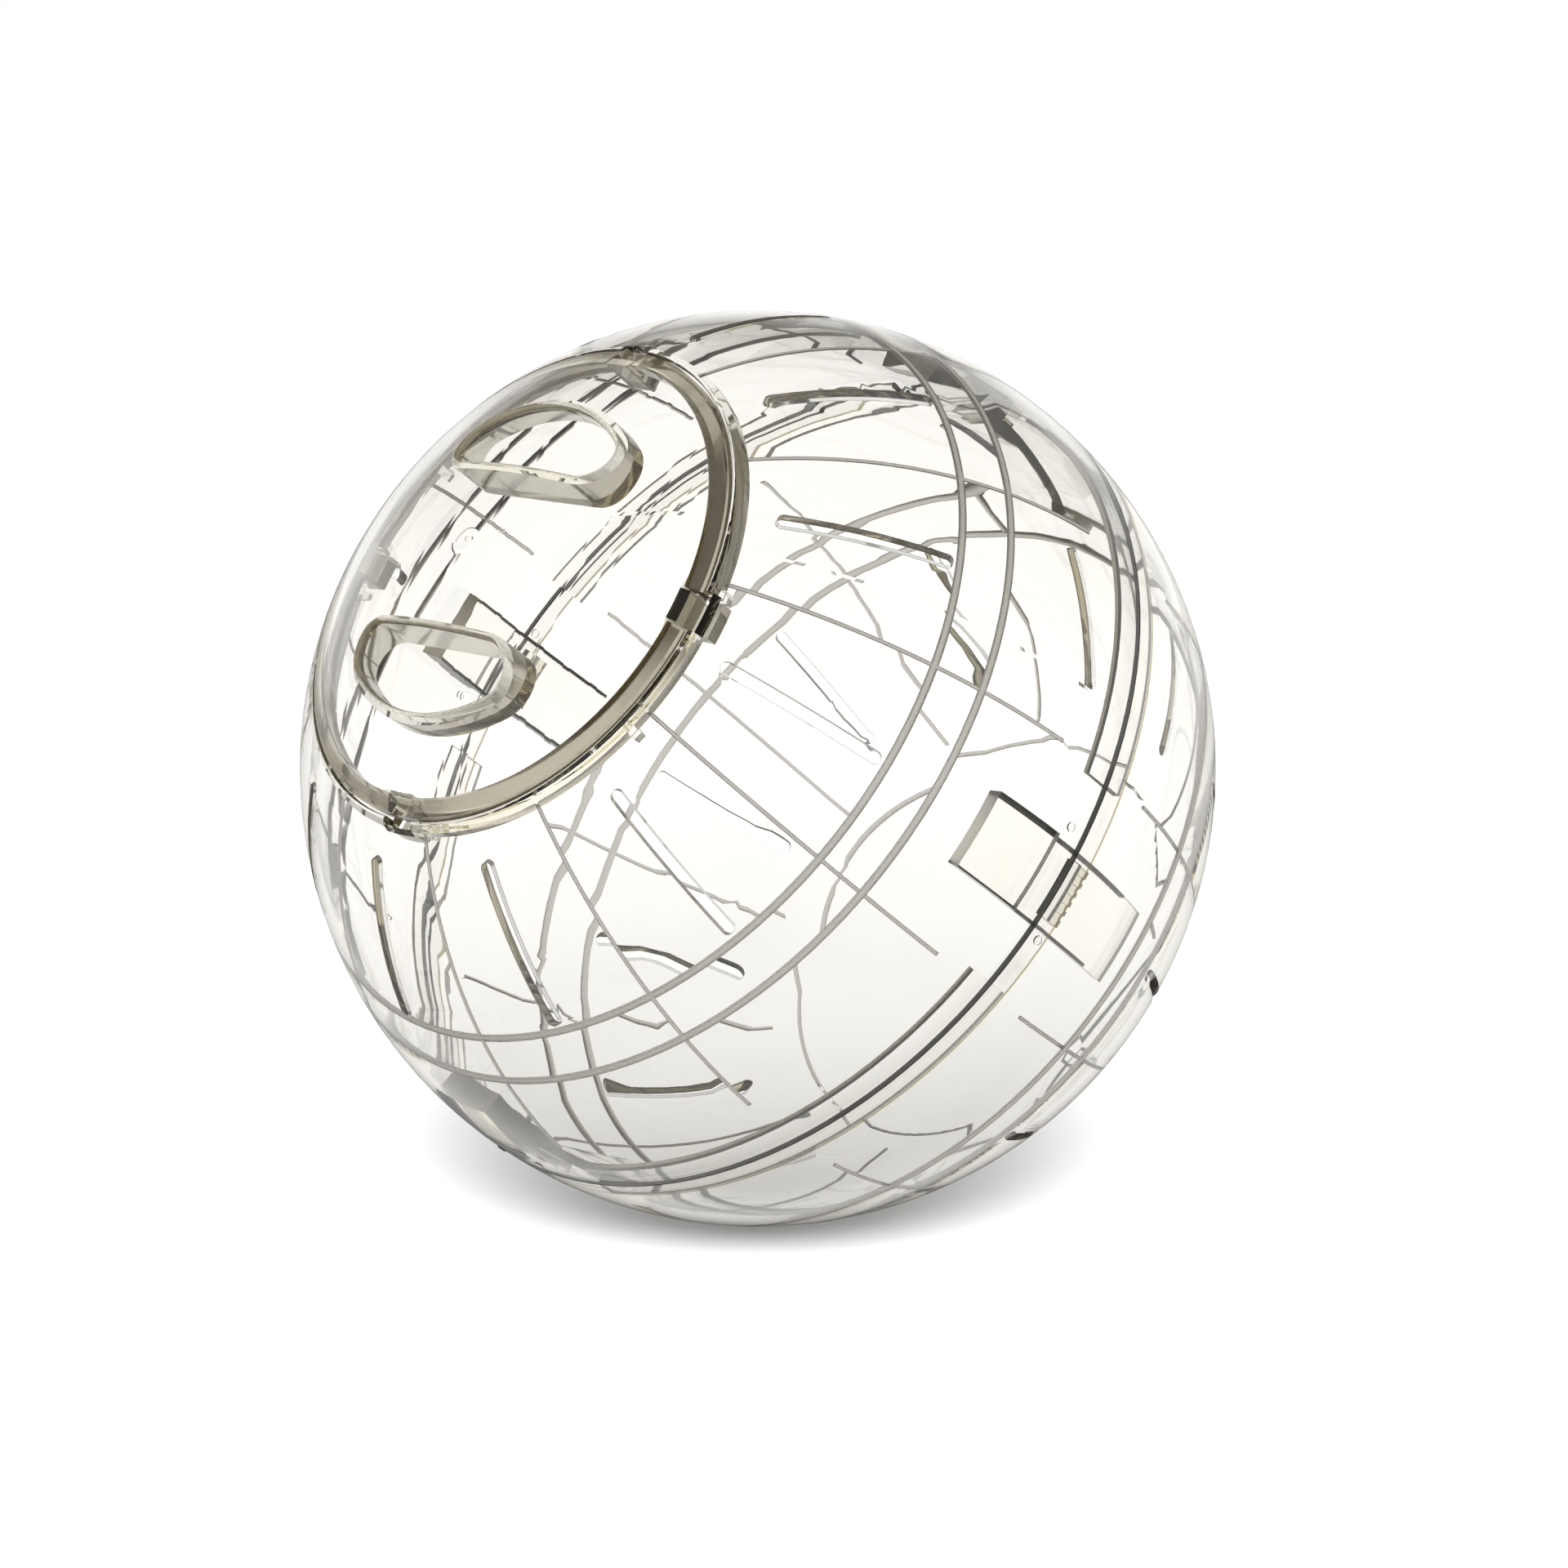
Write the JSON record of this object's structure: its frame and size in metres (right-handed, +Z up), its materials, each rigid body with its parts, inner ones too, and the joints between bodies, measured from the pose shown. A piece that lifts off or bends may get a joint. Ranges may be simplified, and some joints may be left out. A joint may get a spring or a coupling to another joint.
{
  "type": "hamster ball",
  "caption": "Clear plastic exercise ball for a hamster: half shells that twist together, with air slots, inner ribs and a round bayonet lid with finger pockets.",
  "frame": {"origin": "centre of the ball", "axes": "+Z up, with the floor's contact point straight below the origin. The ball lies as pictured: its own axis is in the YZ plane and leans 55 degrees from +Z towards -Y, with the lid at that end. +X lies along the lid's two pocket chords."},
  "size_m": [0.1806, 0.18, 0.18],
  "materials": {
    "shell_clear": "polished clear",
    "lid_clear": "polished clear"
  },
  "bodies": {
    "rear_half": {"rear_shell": "shell_clear"},
    "front_half": {"front_shell": "shell_clear"},
    "cover": {"front_lid": "lid_clear"}
  },
  "joints": [
    {"name": "shell_twist", "type": "hinge", "parent": "rear_half", "child": "front_half", "pos_m": [0, 0, 0], "axis": [0, -0.8192, 0.5736], "range_deg": [-9.5, 9.5]},
    {"name": "lid_lift", "type": "slide", "parent": "front_half", "child": "cover", "axis": [0, -0.8192, 0.5736], "range_m": [0, 0.06]}
  ]
}
